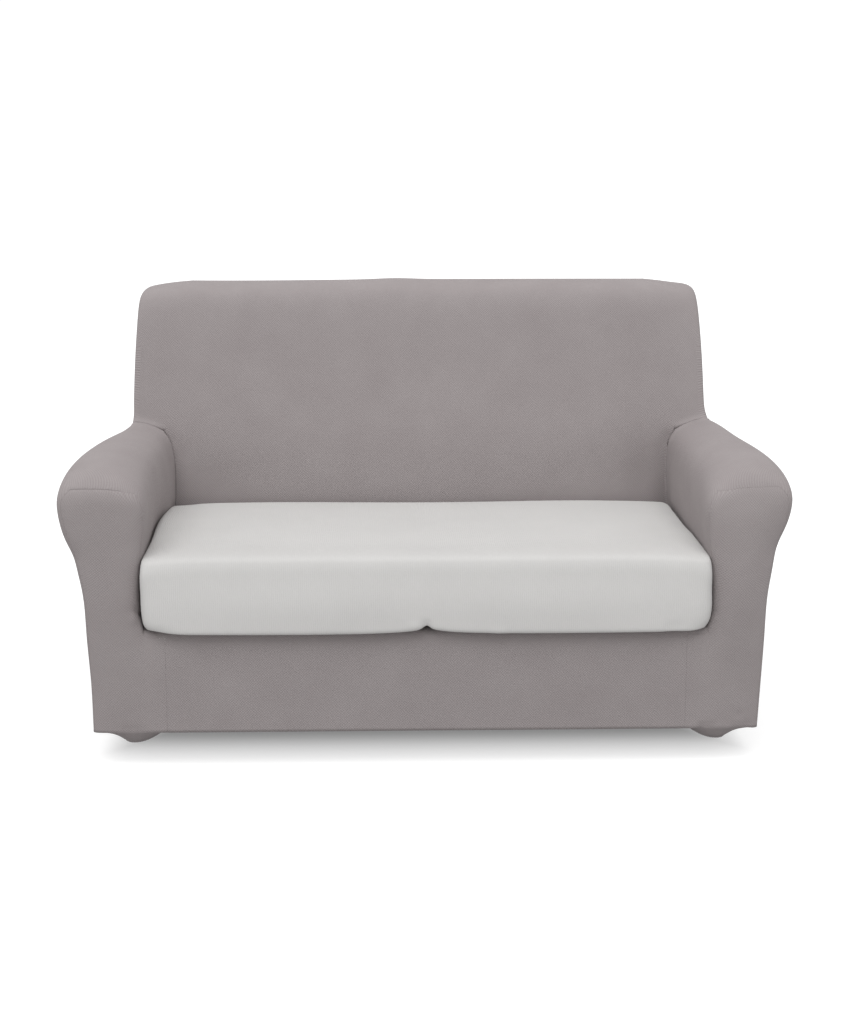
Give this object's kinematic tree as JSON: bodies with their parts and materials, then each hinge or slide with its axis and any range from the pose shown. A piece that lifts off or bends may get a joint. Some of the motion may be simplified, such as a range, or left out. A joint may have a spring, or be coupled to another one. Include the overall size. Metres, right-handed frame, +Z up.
{
  "type": "sofa slipcover",
  "caption": "Fitted stretch slipcover for a small sofa: a hollow body cover with rolled arms, and a separate pale cover for the seat cushion.",
  "frame": {"origin": "under the middle of the cover's top, where the top of the sofa's backrest carries it", "axes": "+X to the right for someone facing the sofa, +Y from the front to the back, +Z up"},
  "size_m": [1.5024, 0.862, 0.9011],
  "materials": {
    "body_knit": "fine two-tone stretch knit, matt, warm taupe grey",
    "cushion_knit": "fine stretch knit, matt, pale grey"
  },
  "bodies": {
    "root": {"arm_front_left": "body_knit", "arm_front_right": "body_knit", "arm_sleeve_left": "body_knit", "arm_sleeve_right": "body_knit", "back_panel": "body_knit", "outside_back_panel": "body_knit", "seat_cushion_cover": "cushion_knit", "seat_panel": "body_knit"}
  },
  "joints": []
}
